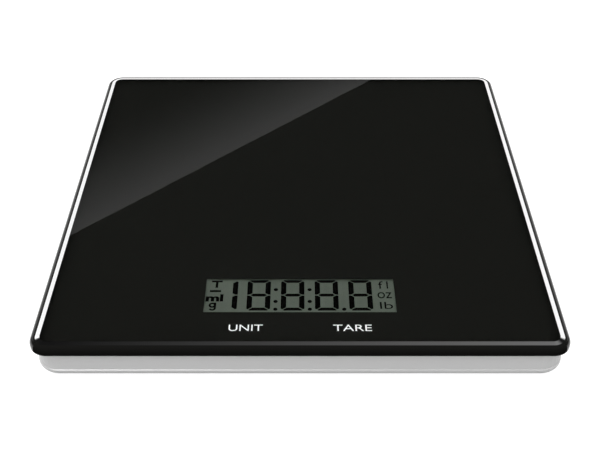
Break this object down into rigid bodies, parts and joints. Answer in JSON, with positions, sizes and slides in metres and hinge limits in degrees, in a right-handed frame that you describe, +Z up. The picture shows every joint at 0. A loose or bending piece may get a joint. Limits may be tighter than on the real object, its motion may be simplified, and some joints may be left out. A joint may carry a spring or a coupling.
{
  "type": "kitchen scale",
  "caption": "Slim square kitchen scale with a black-printed glass platform, an LCD under the glass near the front edge, a silver plastic base and rubber feet.",
  "frame": {"origin": "on the table, under the middle of the scale, in the plane of the undersides of the rubber feet", "axes": "+Z up, +X to the right and +Y to the back as seen by the user; the display is at the front, on the -Y side"},
  "size_m": [0.2, 0.2, 0.0178],
  "materials": {
    "clear_glass": "polished toughened glass with a ground and polished bevelled edge",
    "black_print": "black ceramic print fused to the underside of the glass",
    "foam_tape": "double-sided mounting tape",
    "silver_abs": "silver-grey ABS with a fine satin texture",
    "grey_abs": "plain grey ABS",
    "label_film": "blank satin label film",
    "screw_steel": "zinc-plated steel",
    "foot_rubber": "matt black rubber",
    "spring_steel": "nickel-plated spring steel",
    "cell_steel": "nickel-plated cell can",
    "silicone": "soft pale silicone",
    "lcd_glass": "grey-green reflective LCD with dark segments",
    "board_laminate": "green solder-masked laminate",
    "black_resin": "black moulded resin",
    "white_wire": "white wire insulation",
    "red_wire": "red wire insulation",
    "black_wire": "black wire insulation"
  },
  "bodies": {
    "housing": {"glass_platform": "clear_glass", "back_print": "black_print", "mounting_tape": "foam_tape", "upper_frame": "silver_abs", "bottom_cover": "silver_abs", "rating_label": "label_film", "cover_screw_1": "screw_steel", "cover_screw_2": "screw_steel", "cover_screw_3": "screw_steel", "cover_screw_4": "screw_steel", "cover_screw_5": "screw_steel", "cover_screw_6": "screw_steel", "board_screw_1": "screw_steel", "board_screw_2": "screw_steel", "board_screw_3": "screw_steel", "board_screw_4": "screw_steel", "load_cell_screw_1": "screw_steel", "load_cell_screw_2": "screw_steel", "load_cell_screw_3": "screw_steel", "load_cell_screw_4": "screw_steel", "load_cell_screw_5": "screw_steel", "load_cell_screw_6": "screw_steel", "load_cell_screw_7": "screw_steel", "load_cell_screw_8": "screw_steel", "load_cell_front_left": "spring_steel", "load_cell_front_right": "spring_steel", "load_cell_back_left": "spring_steel", "load_cell_back_right": "spring_steel", "strain_gauge_cap_front_left": "silicone", "strain_gauge_cap_front_right": "silicone", "strain_gauge_cap_back_left": "silicone", "strain_gauge_cap_back_right": "silicone", "load_cell_lead_front_left": "white_wire", "load_cell_lead_front_right": "white_wire", "load_cell_lead_back_left": "white_wire", "load_cell_lead_back_right": "white_wire", "lcd_panel": "lcd_glass", "lcd_holder": "grey_abs", "contact_strip": "silicone", "circuit_board": "board_laminate", "controller_chip": "black_resin", "unit_touch_spring": "spring_steel", "tare_touch_spring": "spring_steel", "battery_cell": "cell_steel", "battery_positive_contact": "spring_steel", "battery_negative_contact": "spring_steel", "battery_positive_lead": "red_wire", "battery_negative_lead": "black_wire", "foot_cup_front_left": "grey_abs", "foot_pad_front_left": "foot_rubber", "foot_cup_front_right": "grey_abs", "foot_pad_front_right": "foot_rubber", "foot_cup_back_left": "grey_abs", "foot_pad_back_left": "foot_rubber", "foot_cup_back_right": "grey_abs", "foot_pad_back_right": "foot_rubber"},
    "battery_door": {"battery_door": "silver_abs"}
  },
  "joints": [
    {"name": "battery_door_hinge", "type": "hinge", "parent": "housing", "child": "battery_door", "pos_m": [0, 0.0259, 0.002], "axis": [1, 0, 0], "range_deg": [0, 75]}
  ]
}
